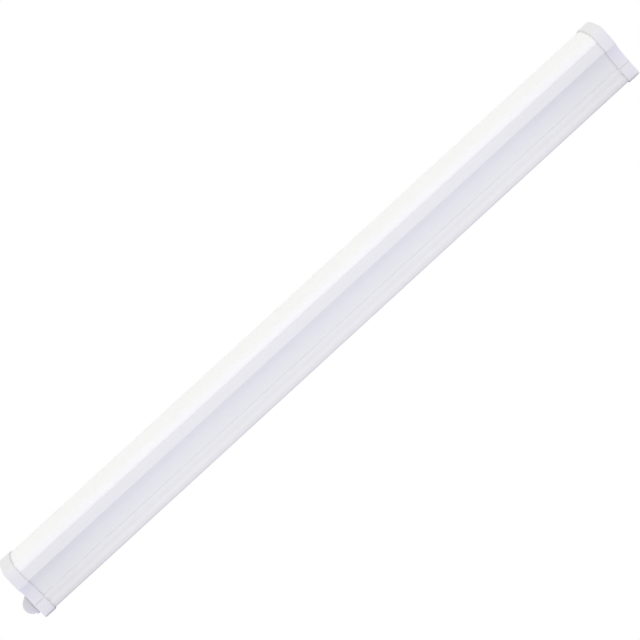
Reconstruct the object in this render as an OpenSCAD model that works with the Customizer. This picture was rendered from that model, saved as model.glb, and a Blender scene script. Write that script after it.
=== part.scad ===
// Damp-proof LED light tube: a white extruded housing with an opal diffuser,
// two pull-on end caps and a cable gland, with its gear tray, LED boards,
// driver and mains terminal inside.
// X runs along the tube with the gland at -X, Z is up from the plane the caps
// stand on, and the origin is at mid-length on that plane. Millimetres.

/* [Overall] */
// Length over the two end caps, without the gland
tube_length = 600; // [590:5:620]
// Width of the housing across its rim
body_width = 69.8; // [69:0.2:72]
// Height of the housing and diffuser together
body_height = 50; // [49:0.25:51.5]
// Width of the housing across its narrow base
base_width = 48.4; // [47.6:0.2:49.2]
// Height of the seam between housing and diffuser
seam_height = 38; // [37.6:0.1:38.4]

/* [Walls] */
// Wall of the housing
wall = 1.8; // [1.6:0.1:2]
// Wall of the diffuser dome
dome_wall = 1.6; // [1.4:0.1:1.8]
// Thickness of the gear tray's sheet
tray_sheet = 1; // [0.8:0.1:1]

/* [End caps] */
// Depth of a cap along the tube
cap_depth = 10.4; // [9:0.1:14]
// How far a cap stands proud of the housing all round
cap_proud = 1; // [0.8:0.1:1.4]
// Thickness of a cap's end wall
cap_wall = 3; // [2.8:0.1:3.4]
// Thickness of the gasket between a cap and the housing's end
gasket = 1.5; // [1.2:0.1:1.8]

/* [Cable gland] */
// Height of the gland's axis above the underside of the housing
gland_height = 10.7; // [10.3:0.1:11.3]
// Across the flats of the gland's hexagons
gland_flats = 16; // [15.6:0.1:16.6]
// Bore of the rubber seal that grips the cable
cable_bore = 5; // [4:0.1:5.2]

/* [Light source] */
// LEDs on each of the two boards
leds_per_board = 24; // [12:2:36]
// Width of a board
board_width = 20; // [18:1:22]

/* [View] */
// Sub-part to draw, or all of them

/* [Hidden] */

$fn = 48;
eps = 0.01;

// Colours
c_housing = [0.93, 0.93, 0.95];
c_diffuser = [0.98, 0.98, 0.97];
c_cap = [0.9, 0.9, 0.92];
c_rubber = [0.16, 0.16, 0.17];
c_gland = [0.78, 0.79, 0.81];
c_seal = [0.22, 0.22, 0.23];
c_steel = [0.75, 0.76, 0.78];
c_tray = [0.86, 0.87, 0.88];
c_board = [0.94, 0.94, 0.92];
c_pcb = [0.16, 0.42, 0.24];
c_brass = [0.8, 0.66, 0.32];
c_live = [0.42, 0.24, 0.13];
c_neutral = [0.13, 0.3, 0.66];
c_earth = [0.35, 0.62, 0.2];

// Lengths along the tube
cap_face = tube_length / 2;
body_half = cap_face - cap_wall - gasket;
tray_half = body_half - 13;
board_far = tray_half - 4;
board_near = 2;

// Half outline of the housing and dome: [across, up, corner radius]
hb = base_width / 2;
hw = body_width / 2;
shoulder = body_height - 5.6;
crown = hw - 19.9;
crown_slope = atan2(body_height - shoulder, hw - 0.5 - crown);
half_outline = [
    [hb, 0, 1.2],
    [hb, 14.4, 12],
    [hb + 1.1, 19.4, 14],
    [hb + 3.1, 23.6, 9],
    [hb + 6.1, 26.8, 9],
    [hw - 1, 29.4, 0.8],
    [hw, seam_height + 0.4, 12],
    [hw - 0.5, shoulder, 4],
    [crown, body_height, 0.985 * crown / tan(crown_slope / 2)]
];

// Clip groove low on each side of the housing
groove_low = 12.3;
groove_high = 13;
groove_deep = 0.6;

// Joint between the diffuser's legs and the housing's rim
lip = 1.05;
leg = 1.1;
play = 0.1;
rail = 1.05;
slot_floor = seam_height - 5.4;
rail_low = seam_height - 8.8;
rail_high = seam_height - 1.7;

// Screw ports, along the whole housing: [across, up]
port_spots = [[-20, 4.2], [20, 4.2], [-28.4, 30.8], [28.4, 30.8]];
port_bore = 1.5;
port_outer = 3.2;
screw_r = 1.45;
screw_reach = 12;
head_r = 3;
head_high = 1.7;
sink_r = 3.3;
sink_deep = 2;

// Gear tray and what sits on it
tray_low = 27;
tray_top = tray_low + tray_sheet;
tray_edge = 26.3;
board_thick = 1.6;
board_top = tray_top + board_thick;
grommet_spot = [-28, 16];
wire_gap = 1.2;
earth_spot = [-254, 15];
board_screw_x = [16, 145, 274];
board_screw_y = -6.5;

// Driver, hung under the tray
drv_a = -236;
drv_b = -100;
drv_half = 19;
drv_low = 9.6;
drv_wall = 1.2;
drv_tab = 8;
drv_board_low = 23;
drv_port = 14.5;
drv_screw_spots = [for (x = [drv_a - 4, drv_b + 4], y = [-15, 15]) [x, y]];

// Mains terminal, hung under the tray near the gland
term_a = -284;
term_b = -264;
term_half = 11;
term_low = 14;
pole_y = [-7, 0, 7];
pole_up = 17.1;
button_up = 22.5;
button_side = 3.8;
lug_spots = [[-274, -14], [-274, 14]];

// Cable gland, measured outwards from the cap's face
gz = cap_proud + gland_height;
shank_r = 5.95;
gland_hole = 6;
neck_r = 5.5;
nut_start = 3;
dome_r = 7.5;
dome_centre = 3.2;
gland_tip = 10.2;
seal_room = 4.4;
nut_hole = 3.2;

// ---- Outline helpers ----

function unit(v) = v / norm(v);
function outward(a) = [a[1], -a[0]];
function turn(v, d) = [v[0] * cos(d) - v[1] * sin(d), v[0] * sin(d) + v[1] * cos(d)];
function whole(h) = concat(h, [for (i = [len(h) - 1:-1:0]) [-h[i][0], h[i][1], h[i][2]]]);
function at(p, i) = let (n = len(p)) [p[(i + n) % n][0], p[(i + n) % n][1]];

// Corner i of the outline moved outwards by g
function moved(p, i, g) =
    let (na = outward(unit(at(p, i) - at(p, i - 1))), nb = outward(unit(at(p, i + 1) - at(p, i))))
    at(p, i) + g * (na + nb) / (1 + na * nb);

// Points of the rounded corner i, moved outwards by g
function corner(p, i, g) =
    let (a = unit(at(p, i) - at(p, i - 1)), b = unit(at(p, i + 1) - at(p, i)),
        bend = atan2(a[0] * b[1] - a[1] * b[0], a * b),
        r = max(0.3, p[i][2] + (bend > 0 ? g : -g)),
        q = moved(p, i, g) - a * r * tan(abs(bend) / 2),
        c = q - outward(a) * r * sign(bend),
        n = ceil(abs(bend) / (r > 30 ? 3 : 11)))
    [for (k = [0:n]) c + turn(q - c, bend * k / n)];

function outline(g) = let (p = whole(half_outline))
    [for (i = [0:len(p) - 1]) each corner(p, i, g)];

// Wall between two offsets of the outline, kept between two heights
module band(outer, inner, low, high) {
    intersection() {
        difference() {
            polygon(outline(outer));
            polygon(outline(inner));
        }
        translate([-60, low]) square([120, high - low]);
    }
}

// Stands a cross-section up and runs it along the tube from x = a to x = b
module along(a, b) {
    translate([a, 0, cap_proud]) rotate([90, 0, 90]) linear_extrude(b - a) children();
}

// Round bar along X from a to b, about a point across and up in the section
module bar_x(a, b, spot, r) {
    translate([a, spot[0], cap_proud + spot[1]]) rotate([0, 90, 0]) cylinder(h = b - a, r = r);
}

// Round bar standing on height a, up to height b
module bar_z(spot, a, b, r) {
    translate([spot[0], spot[1], cap_proud + a]) cylinder(h = b - a, r = r);
}

// Block between two corners; heights are from the housing's underside
module block(a, b) {
    translate([a[0], a[1], a[2] + cap_proud]) cube(b - a);
}

// ---- Wires ----

// Smooth path through points, n steps to a span
function curve(p, n) = [for (i = [0:len(p) - 2], k = [0:n - 1]) spline(p, i, k / n), p[len(p) - 1]];
function spline(p, i, t) =
    let (a = p[max(i - 1, 0)], b = p[i], c = p[i + 1], d = p[min(i + 2, len(p) - 1)])
    0.5 * (2 * b + (c - a) * t + (2 * a - 5 * b + 4 * c - d) * t * t
        + (3 * b - a - 3 * c + d) * t * t * t);

// Round wire of radius r through points given from the housing's underside
module wire(points, r, sides = 8, steps = 4) {
    path = curve(points, steps);
    last = len(path) - 1;
    rings = [for (i = [0:last])
        let (d = unit(path[min(i + 1, last)] - path[max(i - 1, 0)]),
            ref = abs(d[1]) < 0.8 ? [0, 1, 0] : [1, 0, 0],
            u = unit(cross(d, ref)), v = cross(d, u))
        for (k = [0:sides - 1])
            path[i] + [0, 0, cap_proud]
            + r * (u * cos(360 * k / sides) + v * sin(360 * k / sides))];
    walls = [for (i = [0:last - 1], k = [0:sides - 1])
        let (a = i * sides + k, b = i * sides + (k + 1) % sides)
        each [[a, a + sides, b], [b, a + sides, b + sides]]];
    ends = [[for (k = [0:sides - 1]) k], [for (k = [sides - 1:-1:0]) last * sides + k]];
    polyhedron(rings, concat(walls, ends));
}

// ---- Housing and diffuser ----

// Extruded white housing: wall, rim slots, tray ledges, screw ports, clip grooves
module housing() {
    color(c_housing) along(-body_half, body_half) difference() {
        union() {
            band(0, -wall, -1, seam_height);
            band(0.2 - wall, -lip - leg - 2 * play - rail, rail_low, rail_high);
            for (s = [-1, 1]) {
                translate([s * 21.6 - 1, 1.6]) square([2, 2]);
                translate([s * 26 - 1.6, tray_low - 1.5]) square([3.2, 1.4]);
                translate([s * 26.8 - 1.4, tray_top + 0.25]) square([2.8, 1]);
            }
            for (p = port_spots) translate(p) circle(port_outer);
        }
        for (s = [-1, 1])
            translate([s * (hb + 1) - (1 + groove_deep), groove_low])
                square([2 * (1 + groove_deep), groove_high - groove_low]);
        band(-lip, -lip - leg - 2 * play, slot_floor, seam_height + 1);
        for (p = port_spots) translate(p) circle(port_bore);
    }
}

// Opal dome whose two legs plug into the rim's slots
module diffuser() {
    color(c_diffuser) along(-body_half, body_half) union() {
        band(0, -dome_wall, seam_height, body_height + 1);
        band(-lip - play, -lip - play - leg, slot_floor + 0.4, seam_height + 2);
    }
}

// ---- Light source ----

// Folded sheet tray that slides on the housing's ledges
module gear_tray() {
    color(c_tray) difference() {
        union() {
            block([-tray_half, -tray_edge, tray_low], [tray_half, tray_edge, tray_top]);
            for (s = [-1, 1])
                block([-tray_half, s * 22 - 0.5, tray_low - 5], [tray_half, s * 22 + 0.5, tray_low + eps]);
        }
        bar_z(grommet_spot, tray_low - 1, tray_top + 1, 4);
        bar_z(earth_spot, tray_low - 1, tray_top + 1, 1.5);
        for (p = drv_screw_spots) bar_z(p, tray_low - 1, tray_top + 1, 1.5);
        for (p = lug_spots) bar_z(p, tray_low - 1, tray_top + 1, 1.5);
        for (s = [-1, 1], x = board_screw_x)
            bar_z([s * x, board_screw_y], tray_low - 1, tray_top + 1, 1.3);
    }
}

module led_board(s) {
    x0 = s > 0 ? board_near : -board_far;
    x1 = s > 0 ? board_far : -board_near;
    color(c_board) difference() {
        block([x0, -board_width / 2, tray_top], [x1, board_width / 2, board_top]);
        for (x = board_screw_x) bar_z([s * x, board_screw_y], tray_top - 1, board_top + 1, 1.3);
    }
}

// White LED board on the gland's side
module led_board_a() { led_board(-1); }

// White LED board on the far side
module led_board_b() { led_board(1); }

// All the LEDs, in one row along each board
module led_chips() {
    first = 20;
    pitch = (board_far - 8 - first) / (leds_per_board - 1);
    color([0.95, 0.86, 0.45])
        for (s = [-1, 1], i = [0:leds_per_board - 1])
            block([s * (first + i * pitch) - 1.75, -1.4, board_top],
                [s * (first + i * pitch) + 1.75, 1.4, board_top + 0.8]);
}

// Small screws that hold the boards to the tray
module board_screws() {
    color(c_steel) for (s = [-1, 1], x = board_screw_x) {
        bar_z([s * x, board_screw_y], tray_low, board_top + 0.1, 1.25);
        bar_z([s * x, board_screw_y], board_top, board_top + 1.4, 2.2);
    }
}

// Push-in connectors on the boards: the feed, and one at each end of the jumpers
module board_connectors() {
    up = board_top + 2.3;
    color([0.9, 0.9, 0.88]) {
        difference() {
            block([-32, 3, board_top], [-24, board_width / 2, board_top + 4.2]);
            for (s = [-1, 1])
                translate([grommet_spot[0] + s * wire_gap, 6, up + cap_proud])
                    rotate([-90, 0, 0]) cylinder(h = 10, r = 0.9);
        }
        for (s = [-1, 1]) difference() {
            block([s * 8 - 4, -4, board_top], [s * 8 + 4, 4, board_top + 4.2]);
            for (y = [-1.8, 1.8]) bar_x(s * 4 - 3, s * 4 + 3, [y, up], 0.9);
        }
    }
}

// ---- Driver ----

// Open-bottomed driver case with a fixing tab at each end
module driver_case() {
    color([0.93, 0.93, 0.93]) difference() {
        union() {
            block([drv_a, -drv_half, drv_low], [drv_b, drv_half, tray_low]);
            block([drv_a - drv_tab, -drv_half, tray_low - 1.4], [drv_b + drv_tab, drv_half, tray_low]);
        }
        block([drv_a + drv_wall, drv_wall - drv_half, drv_low - 1],
            [drv_b - drv_wall, drv_half - drv_wall, drv_board_low - 1.5]);
        block([drv_a + drv_wall, drv_wall - drv_half, drv_board_low - 0.1],
            [drv_b - drv_wall, drv_half - drv_wall, tray_low - 1.4]);
        block([drv_a + 4, 3 - drv_half, drv_low], [drv_b - 4, drv_half - 3, tray_low - 1.4]);
        for (y = [pole_y[0], pole_y[1]]) bar_x(drv_a - 1, drv_a + 2, [y, drv_port], 1.3);
        for (y = [-3, 3]) bar_x(drv_b - 2, drv_b + 1, [y, drv_port], 1.2);
        for (p = drv_screw_spots) bar_z(p, tray_low - 3, tray_low + 1, 1.5);
    }
}

// Snap-in lid on the underside of the driver
module driver_lid() {
    color([0.88, 0.88, 0.9]) {
        block([drv_a, -drv_half, drv_low - 1.4], [drv_b, drv_half, drv_low]);
        for (s = [-1, 1])
            block([drv_a + 30, s * (drv_half - drv_wall - 0.8) - 0.6, drv_low - eps],
                [drv_b - 30, s * (drv_half - drv_wall - 0.8) + 0.6, drv_low + 3]);
    }
}

// Circuit board on the case's inner rails
module driver_board() {
    color(c_pcb)
        block([drv_a + drv_wall + 0.3, -drv_half + drv_wall + 0.3, drv_board_low],
            [drv_b - drv_wall - 0.3, drv_half - drv_wall - 0.3, drv_board_low + 1.6]);
}

// Wound transformer under the circuit board
module driver_transformer() {
    x = (drv_a + drv_b) / 2;
    color([0.85, 0.72, 0.2]) {
        block([x - 11, -10, 13.5], [x + 11, 10, 20.5]);
        bar_z([x, 0], 12, drv_board_low, 6.5);
    }
    color([0.2, 0.2, 0.2]) block([x - 13, -11, 20.5 - eps], [x + 13, 11, drv_board_low]);
}

// Electrolytic and film capacitors under the circuit board
module driver_capacitors() {
    color([0.15, 0.16, 0.2]) {
        bar_z([drv_a + 34, 4], 11.8, drv_board_low, 5);
        bar_z([drv_b - 28, -5], 11.8, drv_board_low, 5);
        bar_z([drv_b - 28, 7], 14, drv_board_low, 4);
    }
    color([0.75, 0.6, 0.15]) block([drv_a + 20, -14, 13.5], [drv_a + 26, 0, drv_board_low]);
}

// Screws that hang the driver from the tray
module driver_screws() {
    color(c_steel) for (p = drv_screw_spots) {
        bar_z(p, tray_low - 1.5, tray_top + 1.5, screw_r);
        bar_z(p, tray_low - 3.2, tray_low - 1.4, 2.6);
    }
}

// ---- Mains terminal ----

// Three-pole push-in terminal with side ears and lugs through the tray
module terminal_block() {
    color([0.92, 0.92, 0.9]) difference() {
        union() {
            block([term_a, -term_half, term_low], [term_b, term_half, tray_low]);
            block([term_a + 4, -term_half - 5, tray_low - 1.5], [term_b - 4, term_half + 5, tray_low]);
            for (p = lug_spots) bar_z(p, tray_low - 1, tray_top + 1, 1.4);
        }
        for (y = pole_y) {
            bar_x(term_a - 1, term_b + 1, [y, pole_up], 1.4);
            bar_x(term_a - 1, term_a + 1.2, [y, pole_up], 2.3);
            block([term_a + 5, y - 2.2, pole_up - 2], [term_b - 5, y + 2.2, pole_up + 2]);
            block([term_a - 1, y - 2, button_up - 2], [term_a + 10, y + 2, button_up + 2]);
        }
    }
}

// Brass cages that grip the cores inside the terminal
module terminal_clamps() {
    color(c_brass) for (y = pole_y) difference() {
        block([term_a + 5.2, y - 2.1, pole_up - 1.9], [term_b - 5.2, y + 2.1, pole_up + 1.9]);
        bar_x(term_a + 4, term_b - 4, [y, pole_up], 1.3);
    }
}

// Release button of one pole
module release_button(y) {
    h = button_side / 2;
    difference() {
        block([term_a - 2.5, y - h, button_up - h], [term_a + 8, y + h, button_up + h]);
        block([term_a - 3, y - 1.3, button_up - 0.4], [term_a - 1.9, y + 1.3, button_up + 0.4]);
    }
}

// Live pole's release button
module live_button() { color([0.9, 0.45, 0.12]) release_button(pole_y[0]); }

// Neutral pole's release button
module neutral_button() { color([0.35, 0.5, 0.75]) release_button(pole_y[1]); }

// Earth pole's release button
module earth_button() { color([0.35, 0.65, 0.3]) release_button(pole_y[2]); }

// ---- Wiring ----

// Mains core from the terminal to the driver's input
module input_wire(y) {
    wire([[term_b - 8, y, pole_up], [term_b - 4, y, pole_up], [term_b + 1, y, pole_up],
        [term_b + 8, y, pole_up - 0.4], [drv_a - 8, y, drv_port + 0.4], [drv_a - 1, y, drv_port],
        [drv_a + 3, y, drv_port], [drv_a + 8, y, drv_port + 2], [drv_a + 9.5, y, drv_port + 5],
        [drv_a + 9.5, y, drv_port + 6.7], [drv_a + 9.5, y, drv_board_low]], 0.9);
}

// Brown core to the driver
module live_wire() { color(c_live) input_wire(pole_y[0]); }

// Blue core to the driver
module neutral_wire() { color(c_neutral) input_wire(pole_y[1]); }

// Green and yellow core to the tray's earth tag
module earth_wire() {
    y = pole_y[2];
    color(c_earth) wire([[term_b - 8, y, pole_up], [term_b - 4, y, pole_up],
        [term_b + 0.6, y, pole_up], [term_b + 3, y + 1.4, pole_up + 1.4],
        [term_b + 3.4, y + 4.6, pole_up + 5], [term_b + 2, y + 7.4, tray_low - 2.2],
        [term_b + 3.4, earth_spot[1], tray_low - 1.5], [term_b + 4.6, earth_spot[1], tray_low - 1.5],
        [term_b + 5.8, earth_spot[1], tray_low - 1.5]], 0.7);
}

// Output core from the driver, along the housing and up through the grommet
module output_wire(s) {
    gx = grommet_spot[0] - s * wire_gap;
    gy = grommet_spot[1];
    up = board_top + 2.3;
    wire([[drv_b - 8, s * 3, drv_board_low], [drv_b - 8, s * 3, drv_port + 6.7],
        [drv_b - 8, s * 3, drv_port + 5], [drv_b - 6.8, s * 3, drv_port + 1.6],
        [drv_b - 3, s * 3, drv_port + 0.1], [drv_b + 3, s * 3, drv_port], [drv_b + 18, s * 2.2, 11.5],
        [gx - 34, s * 1.6 + 1, 9.5], [gx - 14, s * 1.6 + 7, 11.5], [gx - 2.4, gy - 2, 18],
        [gx, gy, 23.5], [gx, gy, tray_top],
        [gx, gy - 0.4, up - 1.1], [gx, gy - 2.6, up], [gx, board_width / 2 - 1, up],
        [gx, board_width / 2 - 3, up]], 0.8);
}

// Red core to the boards' feed connector
module positive_wire() { color([0.75, 0.1, 0.1]) output_wire(-1); }

// Black core to the boards' feed connector
module negative_wire() { color([0.1, 0.1, 0.1]) output_wire(1); }

// Pair of short wires that bridge the gap between the boards
module jumper_wires() {
    up = board_top + 2.3;
    color([0.8, 0.8, 0.8]) for (y = [-1.8, 1.8])
        wire([[-6, y, up], [-3.6, y, up], [0, y, up + 1.2], [3.6, y, up], [6, y, up]], 0.8);
}

// Crimped ring tag of the earth wire
module earth_tag() {
    color(c_brass) difference() {
        union() {
            bar_z(earth_spot, tray_low - 0.8, tray_low, 3.2);
            block([earth_spot[0] - 5.4, earth_spot[1] - 1.3, tray_low - 0.8],
                [earth_spot[0], earth_spot[1] + 1.3, tray_low]);
            bar_x(term_b + 2.8, term_b + 6.2, [earth_spot[1], tray_low - 1.5], 1.3);
        }
        bar_x(term_b + 2, term_b + 6.3, [earth_spot[1], tray_low - 1.5], 0.85);
        bar_z(earth_spot, tray_low - 2, tray_low + 1, 1.6);
    }
}

// Earth screw through the tag into the tray
module earth_screw() {
    color(c_steel) {
        bar_z(earth_spot, tray_low - 1, tray_top + 1.5, screw_r);
        bar_z(earth_spot, tray_low - 2.4, tray_low - 0.8, 2.6);
    }
}

// Rubber grommet in the tray's wire hole
module tray_grommet() {
    color(c_rubber) difference() {
        union() {
            bar_z(grommet_spot, tray_low, tray_top, 3.95);
            bar_z(grommet_spot, tray_low - 1, tray_low, 4.7);
            bar_z(grommet_spot, tray_top, tray_top + 1, 4.7);
        }
        bar_z(grommet_spot, tray_low - 2, tray_top + 2, 2.8);
    }
}

// ---- End caps ----

// Cap with its end wall at x = s * cap_face
module end_cap(s) {
    x0 = s > 0 ? cap_face - cap_depth : -cap_face;
    wall0 = s > 0 ? cap_face - cap_wall : -cap_face;
    sink0 = s > 0 ? cap_face - sink_deep : -cap_face - 1;
    difference() {
        union() {
            along(x0, x0 + cap_depth) band(cap_proud, play, -5, body_height + 5);
            along(wall0, wall0 + cap_wall) polygon(outline(cap_proud - 0.3));
        }
        for (p = port_spots) {
            bar_x(wall0 - 1, wall0 + cap_wall + 1, p, 1.6);
            bar_x(sink0, sink0 + sink_deep + 1, p, sink_r);
        }
        children();
    }
}

// Gasket between a cap and the housing's end
module end_gasket(s) {
    x0 = s > 0 ? body_half : -body_half - gasket;
    along(x0, x0 + gasket) difference() {
        union() {
            band(0, -wall - 0.8, -1, body_height + 1);
            for (p = port_spots) translate(p) circle(port_outer + 0.5);
        }
        for (p = port_spots) translate(p) circle(port_bore);
    }
}

// Four pan-head screws that hold a cap
module cap_screws(s) {
    for (p = port_spots) {
        face = s * (cap_face - sink_deep);
        a = face - s * screw_reach;
        bar_x(min(a, face + s * eps), max(a, face + s * eps), p, screw_r);
        difference() {
            bar_x(min(face, face + s * head_high), max(face, face + s * head_high), p, head_r);
            translate([face + s * head_high - 0.9, p[0] - 2, cap_proud + p[1] - 0.4]) cube([1.8, 4, 0.8]);
            translate([face + s * head_high - 0.9, p[0] - 0.4, cap_proud + p[1] - 2]) cube([1.8, 0.8, 4]);
        }
    }
}

// Cap at the gland's end
module feed_cap() {
    color(c_cap) end_cap(-1) bar_x(-cap_face - 1, -cap_face + cap_wall + 1, [0, gland_height], gland_hole);
}

// Rubber gasket behind the feed cap
module feed_gasket() { color(c_rubber) end_gasket(-1); }

// Screws of the feed cap
module feed_cap_screws() { color(c_steel) cap_screws(-1); }

// Closed cap at the far end, with a shallow knock-out ring
module far_cap() {
    color(c_cap) end_cap(1) difference() {
        bar_x(cap_face - 0.6, cap_face + 1, [0, gland_height], gland_hole + 0.6);
        bar_x(cap_face - 1, cap_face + 2, [0, gland_height], gland_hole);
    }
}

// Rubber gasket behind the far cap
module far_gasket() { color(c_rubber) end_gasket(1); }

// Screws of the far cap
module far_cap_screws() { color(c_steel) cap_screws(1); }

// ---- Cable gland ----

// Round piece of the gland between distances a and b out from the cap's face
module gland_bar(a, b, r) { bar_x(-cap_face - b, -cap_face - a, [0, gland_height], r); }

// Hexagon of the gland, flats up and down
module gland_hex(a, b) {
    translate([-cap_face - b, 0, gz]) rotate([90, 0, 90])
        linear_extrude(b - a) circle(r = gland_flats / sqrt(3), $fn = 6);
}

// Flat sealing washer under the gland's flange
module gland_washer() {
    color(c_seal) difference() {
        gland_bar(0, 0.8, 7.4);
        gland_bar(-1, 2, gland_hole);
    }
}

// Threaded body of the gland, through the cap's end wall
module gland_body() {
    color(c_gland) difference() {
        union() {
            gland_bar(-8, 0.9, shank_r);
            gland_hex(0.8, 2.8);
            gland_bar(2.7, 6.6, neck_r);
        }
        gland_bar(-9, 4, 4);
        gland_bar(3.5, 7, seal_room);
    }
}

// Locknut inside the cap
module gland_locknut() {
    color(c_gland) difference() {
        gland_hex(-cap_wall - 2.4, -cap_wall);
        gland_bar(-cap_wall - 3, -cap_wall + 1, gland_hole);
    }
}

// Rubber seal that grips the cable, with its nose out through the nut
module gland_seal() {
    color(c_seal) difference() {
        union() {
            gland_bar(3.6, 8.6, 4.3);
            gland_bar(8.5, gland_tip, 3.1);
        }
        gland_bar(3, gland_tip + 1, cable_bore / 2);
    }
}

// Domed hexagonal nut that squeezes the seal
module gland_nut() {
    edge = acos((nut_hole + 0.1) / dome_r);
    start = asin((nut_start + 2.2 - dome_centre) / dome_r);
    dome = [for (k = [0:8]) let (a = start + (edge - start) * k / 8)
        [dome_r * cos(a), dome_centre + dome_r * sin(a)]];
    rim = gland_flats / 2 + 0.9;
    color(c_gland) difference() {
        intersection() {
            gland_hex(nut_start, gland_tip + 1);
            translate([-cap_face, 0, gz]) rotate([0, -90, 0]) rotate_extrude()
                polygon(concat([[0, nut_start], [rim, nut_start], [rim, nut_start + 1.6],
                    [rim - 0.7, nut_start + 2.2]], dome, [[0, dome[8][1]]]));
        }
        gland_bar(nut_start - 1, 6.8, neck_r + 0.1);
        translate([-cap_face - 6.8 + eps, 0, gz]) rotate([0, -90, 0])
            cylinder(h = 1.2 + eps, r1 = neck_r + 0.1, r2 = seal_room);
        gland_bar(7.9, 8.7, seal_room);
        gland_bar(8.6, gland_tip + 1, nut_hole);
    }
}

housing();
diffuser();
gear_tray();
led_board_a();
led_board_b();
led_chips();
board_screws();
board_connectors();
driver_case();
driver_lid();
driver_board();
driver_transformer();
driver_capacitors();
driver_screws();
terminal_block();
terminal_clamps();
live_button();
neutral_button();
earth_button();
live_wire();
neutral_wire();
earth_wire();
positive_wire();
negative_wire();
jumper_wires();
earth_tag();
earth_screw();
tray_grommet();
feed_cap();
feed_gasket();
feed_cap_screws();
gland_washer();
gland_body();
gland_locknut();
gland_seal();
gland_nut();
far_cap();
far_gasket();
far_cap_screws();
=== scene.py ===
import math

import bmesh
import bpy
from mathutils import Matrix, Vector


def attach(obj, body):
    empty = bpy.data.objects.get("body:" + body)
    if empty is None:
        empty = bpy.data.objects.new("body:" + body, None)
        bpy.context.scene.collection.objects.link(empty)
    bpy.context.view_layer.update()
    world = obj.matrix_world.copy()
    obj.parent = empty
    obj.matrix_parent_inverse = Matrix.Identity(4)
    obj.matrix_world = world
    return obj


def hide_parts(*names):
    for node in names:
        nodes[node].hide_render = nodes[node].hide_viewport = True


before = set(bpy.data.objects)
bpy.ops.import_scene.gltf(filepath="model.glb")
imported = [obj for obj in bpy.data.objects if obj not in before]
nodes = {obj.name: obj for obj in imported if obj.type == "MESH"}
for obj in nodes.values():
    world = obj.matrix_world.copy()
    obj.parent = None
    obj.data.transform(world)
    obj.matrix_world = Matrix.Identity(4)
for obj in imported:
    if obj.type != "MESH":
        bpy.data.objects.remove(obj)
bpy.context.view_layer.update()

MM = 0.001
SHARP = 32            # faces that meet at more than this many degrees show an edge

# ---- The section, in millimetres; heights are from the housing's underside ----

LIFT = 1.0            # the caps stand this far proud
BODY_END = 295.5
CAP_FACE = 300.0
CAP_DEPTH = 10.4
CAP_WALL = 3.0
CAP_PROUD = 1.0
SEAM = 38.0
TOP = 50.0
HB, HW = 24.2, 34.9   # half widths at the base and the rim
GLAND_UP = 10.7
TRAY_LOW = 27.0
TRAY_TOP = 28.0
BOARD_TOP = 29.6
PORTS = [(-20, 4.2), (20, 4.2), (-28.4, 30.8), (28.4, 30.8)]
BOARD_SCREWS = [(s * x, -6.5) for s in (-1, 1) for x in (16, 145, 274)]
DRIVER_SCREWS = [(x, y) for x in (-240, -96) for y in (-15, 15)]
EARTH_SPOT = (-254, 15)
GROMMET = (-28.0, 16.0)

# half outlines from the underside up: (across, up, corner radius); the body's own side has a
# slight ripple and a groove where the plain one is straight
DOME = [(HW, SEAM + 0.4, 12), (HW - 0.5, TOP - 5.6, 4), (HW - 19.9, TOP, 104)]
COVE = [(HB + 1.1, 19.4, 14), (HB + 3.1, 23.6, 9), (HB + 6.1, 26.8, 9), (HW - 1, 29.4, 0.6)]
PLAIN_HALF = [(HB, 0, 1.2), (HB, 14.4, 12)] + COVE + DOME
BODY_SIDE = [
    (HB - 0.45, 0, 1.1), (HB, 3.8, 1.6), (HB - 0.55, 6.6, 2), (HB, 9.6, 2.5), (HB - 0.02, 12.3, 0.15),
    (HB - 0.42, 12.4, 0.12), (HB - 0.42, 12.9, 0.12), (HB, 13.0, 0.15), (HB + 0.02, 14.4, 12)] + COVE


def rounded(points, g=0.0, step=8.0, floor=0.1):
    """Fillets a closed outline of (across, up, radius) and moves it outwards by g."""
    n = len(points)
    out = []
    for i in range(n):
        p0, p, p1 = (Vector(points[j % n][:2]) for j in (i - 1, i, i + 1))
        a, b = (p - p0).normalized(), (p1 - p).normalized()
        na, nb = Vector((a.y, -a.x)), Vector((b.y, -b.x))
        bend = math.atan2(a.x * b.y - a.y * b.x, a.dot(b))
        if abs(bend) < 1e-4:
            out.append(p + g * na)
            continue
        q = p + g * (na + nb) / (1 + na.dot(nb))
        r = max(floor, points[i][2] + (g if bend > 0 else -g))
        start = q - a * r * math.tan(abs(bend) / 2)
        c = start - na * r * math.copysign(1, bend)
        d = start - c
        k = max(2, math.ceil(math.degrees(abs(bend)) / (1.2 if r > 30 else step)))
        for j in range(k + 1):
            t = bend * j / k
            turned = (d.x * math.cos(t) - d.y * math.sin(t), d.x * math.sin(t) + d.y * math.cos(t))
            out.append(c + Vector(turned))
    return out


def mirrored(half):
    """Whole outline from its right half, listed upwards."""
    return half + [(-p[0], *p[1:]) for p in reversed(half)]


def at_x(loop, x):
    return [Vector((x, p[0], p[1] + LIFT)) * MM for p in loop]


# ---- Making pieces ----

def finish_mesh(name, bm, sharp=SHARP):
    bmesh.ops.recalc_face_normals(bm, faces=bm.faces[:])
    me = bpy.data.meshes.new(name)
    bm.to_mesh(me)
    bm.free()
    ob = bpy.data.objects.new(name, me)
    bpy.context.scene.collection.objects.link(ob)
    return smooth(ob, sharp)


def smooth(ob, sharp=SHARP):
    for poly in ob.data.polygons:
        poly.use_smooth = True
    ob.data.set_sharp_from_angle(angle=math.radians(sharp))
    return ob


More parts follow.
